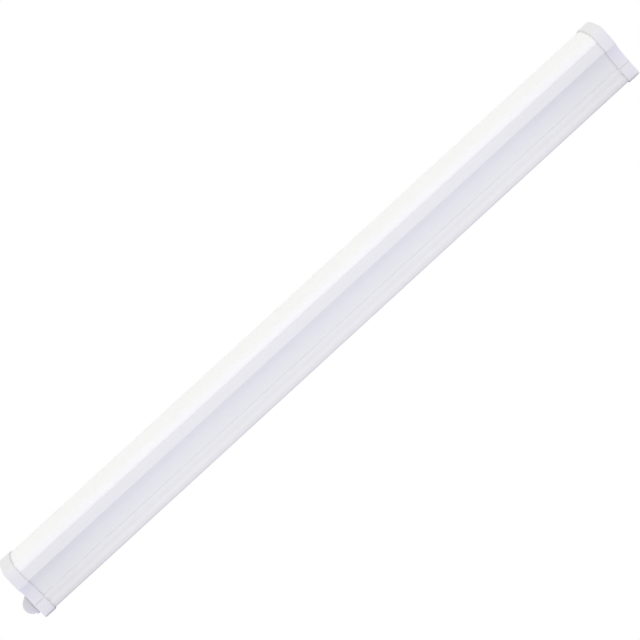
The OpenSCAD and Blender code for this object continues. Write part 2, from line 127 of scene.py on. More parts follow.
def loft(name, rings, sharp=SHARP):
    """Skin through rings of equal count, capped at both ends."""
    bm = bmesh.new()
    rows = [[bm.verts.new(p) for p in ring] for ring in rings]
    for r0, r1 in zip(rows, rows[1:]):
        n = len(r0)
        for i in range(n):
            bm.faces.new((r0[i], r0[(i + 1) % n], r1[(i + 1) % n], r1[i]))
    bm.faces.new(list(reversed(rows[0])))
    bm.faces.new(rows[-1])
    return finish_mesh(name, bm, sharp)


def lathe(name, profile, centre, axis="x", steps=64, sharp=SHARP, ripple=None):
    """Closed turned piece: (along, radius) going round once, about an axis through centre.

    Heights along z and the centre's z are from the housing's underside. ripple(along, turn)
    is added to the radius, which cuts threads.
    """
    bm = bmesh.new()
    rows = []
    for k in range(steps):
        t = 2 * math.pi * k / steps
        row = []
        for a, r in profile:
            if ripple and r > 1e-6:
                r += ripple(a, k / steps)
            if axis == "x":
                v = (centre[0] + a, centre[1] + r * math.cos(t), centre[2] + LIFT + r * math.sin(t))
            else:
                v = (centre[0] + r * math.cos(t), centre[1] + r * math.sin(t), centre[2] + LIFT + a)
            row.append(bm.verts.new(Vector(v) * MM))
        rows.append(row)
    n = len(profile)
    for k in range(steps):
        a, b = rows[k], rows[(k + 1) % steps]
        for i in range(n):
            j = (i + 1) % n
            if profile[i][1] < 1e-6 and profile[j][1] < 1e-6:
                continue
            bm.faces.new((a[i], a[j], b[j], b[i]))
    bmesh.ops.remove_doubles(bm, verts=bm.verts[:], dist=1e-7)
    bmesh.ops.dissolve_degenerate(bm, edges=bm.edges[:], dist=1e-8)
    return finish_mesh(name, bm, sharp)


def threaded(name, a, b, r, pitch, depth, centre, axis="x", steps=32, inner=0.0):
    """Bar from a to b with a helical thread no higher than r, bored to the inner radius."""
    s = 1 if b > a else -1
    rings = max(8, math.ceil(abs(b - a) / pitch * 6))
    body = [(a + (b - a) * k / rings, r - depth / 2) for k in range(rings + 1)]
    body[0] = (a, r - depth)
    body[-1] = (b, r - depth)

    def groove(along, turn):
        if min(abs(along - a), abs(along - b)) < 1e-6:
            return 0.0
        phase = (s * (along - a) / pitch - turn) % 1.0
        return depth / 2 * (1 - 4 * abs(phase - 0.5))

    bar = lathe(name, [(a, 0)] + body + [(b, 0)], centre, axis, steps, 50, groove)
    if not inner:
        return bar
    bore = [(a - s, 0), (a - s, inner), (b + s, inner), (b + s, 0)]
    return cut(bar, [lathe("bore", bore, centre, axis, 48)], 50)


def box(name, a, b):
    """Block between two corners, heights from the housing's underside."""
    bm = bmesh.new()
    bmesh.ops.create_cube(bm, size=1)
    lo = Vector([min(p, q) for p, q in zip(a, b)]) + Vector((0, 0, LIFT))
    hi = Vector([max(p, q) for p, q in zip(a, b)]) + Vector((0, 0, LIFT))
    for v in bm.verts:
        v.co = Vector([lo[i] + (v.co[i] + 0.5) * (hi[i] - lo[i]) for i in range(3)]) * MM
    return finish_mesh(name, bm)


def bevel(ob, width, segments=2, angle=35):
    m = ob.modifiers.new("edges", "BEVEL")
    m.width = width * MM
    m.segments = segments
    m.limit_method = "ANGLE"
    m.angle_limit = math.radians(angle)
    m.harden_normals = True
    return ob


def applied(ob, sharp=SHARP):
    bpy.context.view_layer.update()
    me = bpy.data.meshes.new_from_object(ob.evaluated_get(bpy.context.evaluated_depsgraph_get()))
    ob.modifiers.clear()
    ob.data = me
    return smooth(ob, sharp)


def cut(ob, tools, sharp=SHARP, operation="DIFFERENCE"):
    """Takes the tools away from ob for good, or keeps what they share with it."""
    for t in tools:
        m = ob.modifiers.new("cut", "BOOLEAN")
        m.operation = operation
        m.solver = "EXACT"
        m.object = t
    applied(ob, sharp)
    for t in tools:
        bpy.data.objects.remove(t)
    return ob


def joined(name, obs):
    """One object from several separate solids."""
    bm = bmesh.new()
    for ob in obs:
        bm.from_mesh(ob.data)
        bpy.data.objects.remove(ob)
    me = bpy.data.meshes.new(name)
    bm.to_mesh(me)
    bm.free()
    new = bpy.data.objects.new(name, me)
    bpy.context.scene.collection.objects.link(new)
    return smooth(new, 35)


def piece(ob, body, material, replaces=()):
    ob.data.materials.clear()
    ob.data.materials.append(material)
    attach(ob, body)
    if replaces:
        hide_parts(*replaces)
    return ob


# ---- Materials ----

ROUGH_SPREAD = 0.05   # how far the grain moves the roughness each way
CLOUD = (18, 18, 18)  # scale of the broad drift in colour


def linear(colour):
    """Linear shader colour of a display colour given as 0 to 255."""
    return [((c / 255 + 0.055) / 1.055) ** 2.4 if c > 10 else c / 255 / 12.92 for c in colour]


def link_noise(nt, scale, detail, coord):
    mapping = nt.nodes.new("ShaderNodeMapping")
    mapping.inputs["Scale"].default_value = scale
    nt.links.new(coord.outputs["Object"], mapping.inputs["Vector"])
    noise = nt.nodes.new("ShaderNodeTexNoise")
    noise.inputs["Scale"].default_value = 1.0
    noise.inputs["Detail"].default_value = detail
    nt.links.new(mapping.outputs["Vector"], noise.inputs["Vector"])
    return noise


def material(name, colour, rough, grain, bump, vary, metal=0.0, subsurface=0.0, coat=0.0):
    """Plastic, metal or rubber: a fine grain in bump and roughness, a broad soft drift in colour."""
    colour = linear(colour)
    m = bpy.data.materials.new(name)
    m.use_nodes = True
    nt = m.node_tree
    bsdf = nt.nodes["Principled BSDF"]
    bsdf.inputs["Metallic"].default_value = metal
    bsdf.inputs["Coat Weight"].default_value = coat
    if subsurface:
        bsdf.inputs["Subsurface Weight"].default_value = subsurface
        bsdf.inputs["Subsurface Radius"].default_value = (1.0, 1.0, 1.0)
        bsdf.inputs["Subsurface Scale"].default_value = 0.003
    coord = nt.nodes.new("ShaderNodeTexCoord")
    fine = link_noise(nt, grain, 3.0, coord)
    broad = link_noise(nt, CLOUD, 2.0, coord)
    blend = nt.nodes.new("ShaderNodeMath")
    blend.operation = "MULTIPLY_ADD"
    blend.inputs[1].default_value = 0.4
    nt.links.new(fine.outputs["Fac"], blend.inputs[0])
    half = nt.nodes.new("ShaderNodeMath")
    half.operation = "MULTIPLY"
    half.inputs[1].default_value = 0.6
    nt.links.new(broad.outputs["Fac"], half.inputs[0])
    nt.links.new(half.outputs[0], blend.inputs[2])
    tone = nt.nodes.new("ShaderNodeMix")
    tone.data_type = "RGBA"
    tone.inputs["A"].default_value = (*[c * (1 - vary) for c in colour], 1)
    tone.inputs["B"].default_value = (*[min(1, c * (1 + vary)) for c in colour], 1)
    nt.links.new(blend.outputs[0], tone.inputs["Factor"])
    nt.links.new(tone.outputs["Result"], bsdf.inputs["Base Color"])
    spread = nt.nodes.new("ShaderNodeMapRange")
    spread.inputs["To Min"].default_value = rough - ROUGH_SPREAD
    spread.inputs["To Max"].default_value = rough + ROUGH_SPREAD
    nt.links.new(fine.outputs["Fac"], spread.inputs["Value"])
    nt.links.new(spread.outputs["Result"], bsdf.inputs["Roughness"])
    relief = nt.nodes.new("ShaderNodeBump")
    relief.inputs["Strength"].default_value = bump
    relief.inputs["Distance"].default_value = 0.0004
    nt.links.new(fine.outputs["Fac"], relief.inputs["Height"])
    nt.links.new(relief.outputs["Normal"], bsdf.inputs["Normal"])
    return m


# name, display colour, roughness, grain along x, y and z, bump, colour drift
FINISHES = {
    "housing": ("extruded_white", (238, 238, 236), 0.42, (4, 900, 900), 0.05, 0.006),
    "diffuser": ("opal_white", (253, 253, 251), 0.3, (4, 700, 700), 0.04, 0.003),
    "cap": ("moulded_white", (237, 236, 237), 0.5, (2600, 2600, 2600), 0.12, 0.008),
    "gland": ("moulded_grey", (216, 216, 217), 0.45, (2200, 2200, 2200), 0.12, 0.012),
    "rubber": ("black_rubber", (38, 38, 40), 0.75, (900, 900, 900), 0.2, 0.12),
    "seal": ("grey_rubber", (184, 184, 187), 0.7, (900, 900, 900), 0.2, 0.05),
    "tray": ("powder_white", (222, 223, 226), 0.5, (500, 500, 500), 0.25, 0.015),
    "board": ("board_white", (240, 240, 236), 0.3, (1200, 1200, 1200), 0.05, 0.015),
    "steel": ("zinc_steel", (196, 198, 202), 0.32, (2400, 2400, 300), 0.1, 0.06),
    "brass": ("plain_brass", (205, 175, 105), 0.3, (1500, 1500, 1500), 0.1, 0.08),
    "case": ("case_white", (236, 236, 236), 0.42, (1800, 1800, 1800), 0.12, 0.012),
    "pcb": ("board_green", (34, 104, 58), 0.35, (900, 900, 900), 0.1, 0.12),
    "winding": ("yellow_tape", (226, 196, 70), 0.3, (100, 100, 1400), 0.2, 0.06),
    "ferrite": ("ferrite", (52, 52, 55), 0.6, (1500, 1500, 1500), 0.3, 0.15),
    "can": ("dark_sleeve", (30, 33, 46), 0.3, (900, 900, 900), 0.05, 0.1),
    "film": ("film_yellow", (214, 170, 60), 0.42, (1800, 1800, 1800), 0.12, 0.05),
    "terminal": ("terminal_white", (232, 232, 226), 0.42, (1800, 1800, 1800), 0.12, 0.015),
    "orange": ("button_orange", (226, 116, 36), 0.42, (1800, 1800, 1800), 0.12, 0.04),
    "blue": ("button_blue", (60, 110, 190), 0.42, (1800, 1800, 1800), 0.12, 0.04),
    "green": ("button_green", (66, 150, 66), 0.42, (1800, 1800, 1800), 0.12, 0.04),
    "led": ("led_phosphor", (245, 226, 110), 0.35, (4000, 4000, 4000), 0.05, 0.05),
    "led_frame": ("led_frame", (244, 244, 240), 0.35, (3000, 3000, 3000), 0.05, 0.015),
    "brown_core": ("brown_core", (96, 56, 30), 0.4, (900, 900, 900), 0.06, 0.05),
    "blue_core": ("blue_core", (36, 78, 170), 0.4, (900, 900, 900), 0.06, 0.05),
    "green_core": ("green_core", (52, 150, 58), 0.4, (900, 900, 900), 0.06, 0.05),
    "yellow_core": ("yellow_core", (240, 214, 50), 0.4, (900, 900, 900), 0.06, 0.05),
    "red_core": ("red_core", (190, 32, 30), 0.4, (900, 900, 900), 0.06, 0.05),
    "black_core": ("black_core", (28, 28, 30), 0.4, (900, 900, 900), 0.06, 0.1),
    "white_core": ("white_core", (226, 226, 224), 0.4, (900, 900, 900), 0.06, 0.02),
}
EXTRAS = {
    "diffuser": {"coat": 0.2, "subsurface": 0.2},
    "board": {"coat": 0.3},
    "pcb": {"coat": 0.4},
    "steel": {"metal": 1.0},
    "brass": {"metal": 1.0},
}
M = {key: material(*row, **EXTRAS.get(key, {})) for key, row in FINISHES.items()}


# ---- CAD nodes whose shape stays: softened edges and a material ----

def keep(node, finish, width):
    """Gives a CAD node its finish and softens its edges by width."""
    ob = nodes[node]
    ob.data.materials.clear()
    ob.data.materials.append(M[finish])
    weld = ob.modifiers.new("weld", "WELD")
    weld.merge_threshold = 1e-6
    bevel(ob, width)


for node, finish, width in (
        ("board_connectors", "terminal", 0.2), ("driver_lid", "case", 0.3), ("driver_board", "pcb", 0.1),
        ("terminal_block", "terminal", 0.2), ("terminal_clamps", "brass", 0.12),
        ("live_button", "orange", 0.25), ("neutral_button", "blue", 0.25), ("earth_button", "green", 0.25),
        ("earth_tag", "brass", 0.1), ("feed_gasket", "rubber", 0.2), ("far_gasket", "rubber", 0.2)):
    keep(node, finish, width)


# ---- Housing ----

def x_at(points, up):
    """Rightmost crossing of a closed outline at a height."""
    hits = []
    for a, b in zip(points, points[1:] + points[:1]):
        if (a.y - up) * (b.y - up) <= 0 and a.y != b.y:
            hits.append(a.x + (b.x - a.x) * (up - a.y) / (b.y - a.y))
    return max(hits)


def above(points, up):
    """The stretch of a closed outline above a height, from its right crossing to its left."""
    n = len(points)
    start = next(i for i in range(n) if points[i].y < up <= points[(i + 1) % n].y)
    stretch = []
    i = start + 1
    while points[i % n].y >= up:
        stretch.append(points[i % n])
        i += 1
    x = x_at(points, up)
    return [Vector((x, up))] + [p for p in stretch if p.y > up + 0.02] + [Vector((-x, up))]


# the plain outline moved outwards by each of these amounts
skin = {g: rounded(mirrored(PLAIN_HALF), g) for g in (0.0, -1.05, -1.15, -1.6, -2.25, -2.35, -3.4)}
SLOT_FLOOR, RAIL_HIGH = SEAM - 5.4, SEAM - 1.7


def housing_loop():
    """Section of the housing: outside up one half, over the rim's slot, down the inside."""
    half = BODY_SIDE + [
        (x_at(skin[0.0], SEAM), SEAM, 0.05), (x_at(skin[-1.05], SEAM), SEAM, 0.1),
        (x_at(skin[-1.05], SLOT_FLOOR), SLOT_FLOOR, 0.2), (x_at(skin[-2.35], SLOT_FLOOR), SLOT_FLOOR, 0.2),
        (x_at(skin[-2.35], RAIL_HIGH), RAIL_HIGH, 0.25), (x_at(skin[-3.4], RAIL_HIGH), RAIL_HIGH, 0.3),
        (x_at(skin[-3.4], 32.6), 30.0, 0.2), (28.4, 29.25, 0.3), (25.4, 29.25, 0.25), (25.4, 28.25, 0.25),
        (28.8, 28.25, 0.2), (27.6, 26.9, 0.2), (24.4, 26.9, 0.25), (24.4, 25.5, 0.25), (26.6, 25.4, 0.6),
        (25.6, 23.9, 2.5), (22.4, 14.6, 10), (22.4, 1.8, 0.6)]
    return rounded(mirrored(half), step=9.0)


def run(name, loop):
    """Extrusion over the body's length, in slices short enough to render cleanly."""
    slices = 20
    return loft(name, [at_x(loop, BODY_END * (2 * k / slices - 1)) for k in range(slices + 1)])


def add_ports(ob):
    """Screw ports run the whole length of the housing as tubes that grow out of its corners."""
    tubes, bores = [], []
    for y, z in PORTS:
        tubes.append(drill(-BODY_END, BODY_END, y, z, 3.2))
        bores.append(drill(-BODY_END - 1, BODY_END + 1, y, z, 1.5))
    for s in (-1, 1):
        tubes.append(box("corner", (-BODY_END, s * 20.6, 1.5), (BODY_END, s * 22.6, 3.6)))
        tubes.append(box("corner", (-BODY_END, s * 28.4, 28.9), (BODY_END, s * 32.0, 31.2)))
    return cut(cut(ob, tubes, operation="UNION"), bores)


def drill(x0, x1, y, z, r, chamfer=0.0, steps=48):
    """Bar along X, with a flared mouth where it meets x0."""
    s = 1 if x1 > x0 else -1
    mouth = [(0, r + 1 + chamfer), (s * (1 + chamfer), r)] if chamfer else [(0, r)]
    return lathe("bar", [(0, 0)] + mouth + [(x1 - x0, r), (x1 - x0, 0)], (x0, y, z), steps=steps)


shell = add_ports(run("housing_shell", housing_loop()))
piece(shell, "housing", M["housing"], ["housing"])


# ---- Diffuser ----

def diffuser_loop():
    """Section of the diffuser: the dome, and on each side a leg that stands in the rim's slot."""
    out = above(skin[0.0], SEAM)
    inside = list(reversed(above(skin[-1.6], SEAM + 2)))
    ups = (SLOT_FLOOR + 0.8, SLOT_FLOOR + 2.5, SEAM - 1.2, SEAM)
    outer_leg = [Vector((x_at(skin[-1.15], u), u)) for u in ups]
    inner_leg = [Vector((x_at(skin[-2.25], u), u)) for u in ups + (SEAM + 1, SEAM + 2)]
    foot_up = SLOT_FLOOR + 0.4
    foot = [Vector((inner_leg[0].x + 0.3, foot_up)), Vector((outer_leg[0].x - 0.3, foot_up))]
    right = list(reversed(inner_leg)) + foot + outer_leg
    left = [Vector((-p.x, p.y)) for p in reversed(right)]
    return out + left + inside + right


dome = run("diffuser_dome", diffuser_loop())
piece(dome, "housing", M["diffuser"], ["diffuser"])


# ---- End caps ----

def end_cap(name, s, node):
    """Cap on the end at s: hollow over the housing, its four screws let in to its face."""
    corner = 1.0
    fillet = [(corner * (1 - math.cos(t)), CAP_PROUD - corner * (1 - math.sin(t)))
              for t in [math.pi / 2 * k / 6 for k in range(7)]]
    line, deep = CAP_DEPTH - 0.25, CAP_PROUD - 0.4                # a fine line runs round by the mouth
    rings = fillet + [
        (line - 0.26, CAP_PROUD), (line - 0.22, deep), (line - 0.04, deep), (line, CAP_PROUD - 0.05),
        (CAP_DEPTH - 0.05, CAP_PROUD - 0.12), (CAP_DEPTH, CAP_PROUD - 0.3), (CAP_DEPTH, 0.3),
        (CAP_DEPTH - 0.2, 0.1), (CAP_WALL, 0.1)]
    full = mirrored(PLAIN_HALF)
    face = s * CAP_FACE
    cap = loft(name, [at_x(rounded(full, g), face - s * t) for t, g in rings])
    tools = []
    for y, z in PORTS:
        tools.append(drill(face + s, face - s * 2.0, y, z, 3.3, 0.25))
        tools.append(drill(face + s, face - s * 4.0, y, z, 1.6))
    if s < 0:
        tools.append(drill(face - 1.0, face + 4.0, 0, GLAND_UP, 6.0, steps=64))
    else:
        ring = [(1, 6.0), (1, 6.6), (-0.6, 6.6), (-0.6, 6.0)]
        tools.append(lathe("cutter", ring, (face, 0, GLAND_UP), steps=64))
    for side in (-1, 1):                                          # moulding line along each flank
        out = side * (HB + CAP_PROUD)
        tools.append(box("cutter", (face + s, out - side * 0.7, 11.05),
                         (face - s * (CAP_DEPTH + 1), out + side, 11.8)))
    cut(cap, tools)
    bevel(cap, 0.12, 2, 40)
    return piece(cap, node, M["cap"], [node])


end_cap("feed_cap_shell", -1, "feed_cap")
end_cap("far_cap_shell", 1, "far_cap")


# ---- Screws ----

def turned_head(head_r, high):
    """Pan head from its seat outwards."""
    return [(0, 0), (0, head_r - 0.1), (0.12, head_r), (high * 0.45, head_r), (high * 0.8, head_r * 0.86),
            (high * 0.97, head_r * 0.55), (high, 0)]


def screw(centre, direction, axis, head_r, high, shank_r, reach, pitch):
    """Pan-head screw: seat at centre, head out along direction, threaded shank behind it."""
    head = lathe("head", [(direction * a, r) for a, r in turned_head(head_r, high)], centre, axis, 40)
    slots = []
    top = direction * (high + 0.2)
    deep = direction * (high - 0.9)
    for across in ((head_r * 0.6, 0.42), (0.42, head_r * 0.6)):
        if axis == "x":
            lo = (centre[0] + deep, centre[1] - across[0], centre[2] - across[1])
            hi = (centre[0] + top, centre[1] + across[0], centre[2] + across[1])
        else:
            lo = (centre[0] - across[0], centre[1] - across[1], centre[2] + deep)
            hi = (centre[0] + across[0], centre[1] + across[1], centre[2] + top)
        slots.append(box("slot", lo, hi))
    cut(head, slots, 35)
    shank = threaded("shank", 0.0, -direction * reach, shank_r, pitch, 0.35, centre, axis)
    return [head, shank]


def screw_set(name, body, node, spots, **size):
    solids = []
    for centre, direction, axis in spots:
        solids += screw(centre, direction, axis, **size)
    piece(joined(name, solids), body, M["steel"], [node])


for s, body in ((-1, "feed_cap"), (1, "far_cap")):
    seat = s * (CAP_FACE - 2.0)
    screw_set(body + "_screw_set", body, body + "_screws",
              [((seat, y, z), s, "x") for y, z in PORTS],
              head_r=3.0, high=1.7, shank_r=1.45, reach=12.0, pitch=1.2)

screw_set("board_screw_set", "housing", "board_screws",
          [((x, y, BOARD_TOP), 1, "z") for x, y in BOARD_SCREWS],
          head_r=2.2, high=1.4, shank_r=1.25, reach=BOARD_TOP - TRAY_LOW, pitch=0.7)
screw_set("driver_screw_set", "housing", "driver_screws",
          [((x, y, TRAY_LOW - 1.4), -1, "z") for x, y in DRIVER_SCREWS],
          head_r=2.6, high=1.8, shank_r=1.45, reach=3.9, pitch=0.8)
screw_set("earth_screw_set", "housing", "earth_screw",
          [((*EARTH_SPOT, TRAY_LOW - 0.8), -1, "z")],
          head_r=2.6, high=1.6, shank_r=1.45, reach=3.3, pitch=0.8)


# ---- Cable gland, measured outwards from the cap's face ----

GLAND = (-CAP_FACE, 0, GLAND_UP)
FLATS = 16.0
THREAD = 1.5                    # pitch of both threads
NECK_R, NECK_BORE = 5.5, 4.4
NUT_START = 3.0
NUT_HOLE = 3.2
DOME_R, DOME_CENTRE = 7.5, 3.2


def outwards(profile):
    return [(-a, r) for a, r in profile]


def hexagon(a, b, flats):
    """Hexagonal prism about the gland's axis, flats up and down."""
    r = flats / math.sqrt(3)
    corners = [(r * math.cos(math.pi / 3 * k), GLAND_UP + r * math.sin(math.pi / 3 * k)) for k in range(6)]
    return loft("hexagon", [at_x(corners, GLAND[0] - t) for t in (a, b)], 20)


def hex_piece(name, a, b, chamfer_a, chamfer_b):
    """Hexagon whose corners are turned off at the chamfered ends, as a real nut's are."""
    rim = FLATS / 2 + 1.0
    profile = [(a, 0), (a, rim - chamfer_a * 1.6), (a + chamfer_a * 0.7, rim + 0.3),
               (b - chamfer_b * 0.7, rim + 0.3), (b, rim - chamfer_b * 1.6), (b, 0)]
    turned = lathe(name, outwards(profile), GLAND, steps=96)
    return cut(turned, [hexagon(a - 1, b + 1, FLATS)], operation="INTERSECT")


def gland_washer():
    ring = [(0.0, 6.1), (0.12, 6.0), (0.68, 6.0), (0.8, 6.1),
            (0.8, 7.25), (0.65, 7.4), (0.15, 7.4), (0.0, 7.25)]
    washer = lathe("gland_sealing_washer", outwards(ring), GLAND, steps=72)
    piece(washer, "feed_cap", M["seal"], ["gland_washer"])


def gland_body():
    flange = hex_piece("gland_body_shell", 0.8, 2.8, 0.0, 0.2)
    cut(flange, [drill(-CAP_FACE + 1, -CAP_FACE - 4, 0, GLAND_UP, 4.0)])
    shank = threaded("shank", 8.0, -0.85, 5.95, THREAD, 0.5, GLAND, steps=64, inner=4.0)
    neck = threaded("neck", -2.7, -6.6, NECK_R, THREAD, 0.4, GLAND, steps=64, inner=NECK_BORE)
    body = joined("gland_body_shell", [flange, shank, neck])
    bevel(body, 0.12, 2, 50)
    piece(body, "feed_cap", M["gland"], ["gland_body"])


def gland_locknut():
    nut = hex_piece("gland_locknut_ring", -CAP_WALL - 2.4, -CAP_WALL, 0.7, 0.7)
    cut(nut, [drill(-CAP_FACE - 1, -CAP_FACE + 8, 0, GLAND_UP, 6.0, steps=64)])
    bevel(nut, 0.1, 2, 40)
    piece(nut, "feed_cap", M["gland"], ["gland_locknut"])


def gland_seal():
    """Rubber bush whose nose stands a little out of the nut."""
    section = [(3.6, 2.7), (3.8, 2.5), (9.95, 2.5), (10.2, 2.7), (10.2, 2.85), (10.1, 3.02),
               (9.9, 3.1), (8.6, 3.1), (8.6, 4.15), (8.45, 4.3), (3.8, 4.3), (3.6, 4.1)]
    bush = lathe("gland_seal_bush", outwards(section), GLAND, steps=72)
    piece(bush, "gland_seal", M["seal"], ["gland_seal"])


def gland_nut():
    """Domed nut: a hexagonal skirt under a turned dome, hollow for the neck and the seal."""
    rim = FLATS / 2 + 0.9
    step = NUT_START + 2.2
    start = math.asin((step - DOME_CENTRE) / DOME_R)
    end = math.acos(3.55 / DOME_R)
    arc = [(DOME_CENTRE + DOME_R * math.sin(a), DOME_R * math.cos(a))
           for a in [start + (end - start) * k / 14 for k in range(15)]]
    tip = arc[-1][0]
    profile = [(NUT_START, 0), (NUT_START, rim), (NUT_START + 0.12, rim + 0.3),
               (NUT_START + 1.5, rim + 0.3), (NUT_START + 2.0, rim - 0.75),
               (step, arc[0][1] + 0.3), (step + 0.15, arc[1][1] + 0.12)]
    profile += arc[1:] + [(tip + 0.12, 3.45), (tip + 0.12, 0)]
    nut = cut(lathe("gland_dome_nut", outwards(profile), GLAND, steps=120),
              [hexagon(NUT_START - 1, 12, FLATS)], operation="INTERSECT")
    hollow = [(NUT_START - 1, 0), (NUT_START - 1, NECK_R + 0.1), (6.8, NECK_R + 0.1), (8.0, NECK_BORE),
              (8.7, NECK_BORE), (8.7, NUT_HOLE), (12, NUT_HOLE), (12, 0)]
    cut(nut, [lathe("cutter", outwards(hollow), GLAND, steps=96)])
    bevel(nut, 0.14, 3, 38)
    piece(nut, "gland_nut", M["gland"], ["gland_nut"])


gland_washer()
gland_body()
gland_locknut()
gland_seal()
gland_nut()


# ---- Light source ----

def upright(x, y, low, high, r):
    """Round bar standing between two heights."""
    return lathe("bar", [(low, 0), (low, r), (high, r), (high, 0)], (x, y, 0), "z", 40)


def sheet(name, x0, x1, section, holes, low, high):
    """Long flat part from its section, in short slices, with round holes through it."""
    slices = max(2, round((x1 - x0) / 30))
    bar = loft(name, [at_x(section, x0 + (x1 - x0) * k / slices) for k in range(slices + 1)])
    return cut(bar, [upright(x, y, low - 1, high + 1, r) for x, y, r in holes if x0 < x < x1])


def gear_tray():
    """Flat sheet with a strip turned down along each side."""
    edge, strip, half_sheet, down = 26.3, 22.0, 0.5, 22
    half = [(strip - half_sheet, TRAY_LOW, 0.1), (strip - half_sheet, down, 0.2),
            (strip + half_sheet, down, 0.2), (strip + half_sheet, TRAY_LOW, 0.1),
            (edge, TRAY_LOW, 0.2), (edge, TRAY_TOP, 0.2)]
    holes = [(x, y, 1.3) for x, y in BOARD_SCREWS] + [(x, y, 1.5) for x, y in DRIVER_SCREWS]
    holes += [(-274, -14, 1.5), (-274, 14, 1.5), (*EARTH_SPOT, 1.5), (*GROMMET, 4.0)]
    section = rounded(mirrored(half), step=30, floor=0.05)
    tray = sheet("gear_tray_sheet", -282.5, 282.5, section, holes, 26, 28.5)
    piece(tray, "housing", M["tray"], ["gear_tray"])


def led_boards():
    section = rounded(mirrored([(10, TRAY_TOP, 0.1), (10, BOARD_TOP, 0.1)]), step=45)
    holes = [(x, y, 1.3) for x, y in BOARD_SCREWS]
    for side, x0, x1 in (("a", -278.5, -2), ("b", 2, 278.5)):
        board = sheet("led_strip_" + side, x0, x1, section, holes, TRAY_TOP, BOARD_TOP)
        piece(board, "housing", M["board"], ["led_board_" + side])


def led_packages():
    """Each LED is a white frame round a shallow pool of phosphor gel."""
    first, last, count = 20.0, 270.5, 24
    pitch = (last - first) / (count - 1)
    frames, gels = [], []
    long, wide, wall = 1.75, 1.4, 0.4                             # half lengths and the frame's wall
    for s in (-1, 1):
        for i in range(count):
            x = s * (first + i * pitch)
            rim = box("frame", (x - long, -wide, BOARD_TOP), (x + long, wide, BOARD_TOP + 0.8))
            x0, x1, side = x - long + wall, x + long - wall, wide - wall
            well = box("well", (x0, -side, BOARD_TOP + 0.45), (x1, side, BOARD_TOP + 1))
            frames.append(cut(rim, [well]))
            gels.append(box("gel", (x0, -side, BOARD_TOP + 0.4), (x1, side, BOARD_TOP + 0.7)))
    frames_ob = joined("led_frames", frames)
    bevel(frames_ob, 0.08)
    piece(frames_ob, "housing", M["led_frame"], ["led_chips"])
    gels_ob = joined("led_gels", gels)
    bevel(gels_ob, 0.08)
    piece(gels_ob, "housing", M["led"])


gear_tray()
led_boards()
led_packages()


# ---- Driver's components ----

DRV_A, DRV_B = -236.0, -100.0   # its two ends
DRV_BOARD = 23.0                # underside of its board
DRV_PORT = 14.5                 # height of its wire holes


def driver_case():
    """Open-bottomed box with an inner rail for the board, a fixing tab at each end and wire holes."""
    half, low, wall = 19.0, 9.6, 1.2
    shell = applied(bevel(box("driver_case_shell", (DRV_A, -half, low), (DRV_B, half, TRAY_LOW)), 0.5, 3))
    tabs = box("tabs", (DRV_A - 8, -half, TRAY_LOW - 1.4), (DRV_B + 8, half, TRAY_LOW))
    cut(shell, [applied(bevel(tabs, 0.35, 3))], operation="UNION")
    inner, side = half - wall, half - 3
    tools = [box("room", (DRV_A + wall, -inner, low - 1), (DRV_B - wall, inner, DRV_BOARD - 1.5)),
             box("room", (DRV_A + wall, -inner, DRV_BOARD - 0.1), (DRV_B - wall, inner, TRAY_LOW - 1.4)),
             box("room", (DRV_A + 4, -side, low), (DRV_B - 4, side, TRAY_LOW - 1.4))]
    for x0, x1, y, r in ((DRV_A - 1, DRV_A + 5, -7, 1.3), (DRV_A - 1, DRV_A + 5, 0, 1.3),
                         (DRV_B - 5, DRV_B + 1, -3, 1.2), (DRV_B - 5, DRV_B + 1, 3, 1.2)):
        tools.append(drill(x0, x1, y, DRV_PORT, r))
    tools += [upright(x, y, TRAY_LOW - 3, TRAY_LOW + 1, 1.5) for x, y in DRIVER_SCREWS]
    for tool in tools:
        cut(shell, [tool])
    piece(shell, "housing", M["case"], ["driver_case"])


def transformer():
    x = (DRV_A + DRV_B) / 2
    winding = box("transformer_winding", (x - 11, -10, 13.5), (x + 11, 10, 20.5))
    bevel(winding, 1.6, 4)
    piece(winding, "housing", M["winding"], ["driver_transformer"])
    core = joined("transformer_core", [box("leg", (x - 2.5, -6.5, 12), (x + 2.5, 6.5, 13.4)),
                                       box("leg", (x - 13, -11, 20.5), (x + 13, 11, DRV_BOARD))])
    bevel(core, 0.4)
    piece(core, "housing", M["ferrite"])


def capacitors():
    """Electrolytic cans hang under the board, each with a rolled rim and a dished base."""
    cans = []
    for x, y, low, r in ((DRV_A + 34, 4, 11.8, 5), (DRV_B - 28, -5, 11.8, 5), (DRV_B - 28, 7, 14.0, 4)):
        high = DRV_BOARD - low
        profile = [(0.25, 0), (0.25, r - 1.1), (0, r - 0.9), (0, r - 0.5), (0.15, r - 0.12), (0.5, r),
                   (high - 2.6, r), (high - 2.3, r - 0.35), (high - 1.9, r - 0.35), (high - 1.6, r),
                   (high - 0.3, r), (high, r - 0.3), (high, 0)]
        cans.append(lathe("can", profile, (x, y, low), "z", 48))
    piece(joined("capacitor_cans", cans), "housing", M["can"], ["driver_capacitors"])
    film = box("film_capacitor", (DRV_A + 20, -14, 13.5), (DRV_A + 26, 0, DRV_BOARD))
    bevel(film, 0.6, 3)
    piece(film, "housing", M["film"])


driver_case()
transformer()
capacitors()


# ---- Wires ----

WIRE_SIDES = 16


def spline(p, i, t):
    """Point at t from p[i] to p[i + 1] on a smooth curve through all of p."""
    a, b, c, d = p[max(i - 1, 0)], p[i], p[i + 1], p[min(i + 2, len(p) - 1)]
    return 0.5 * (2 * b + (c - a) * t + (2 * a - 5 * b + 4 * c - d) * t * t
                  + (3 * b - a - 3 * c + d) * t ** 3)


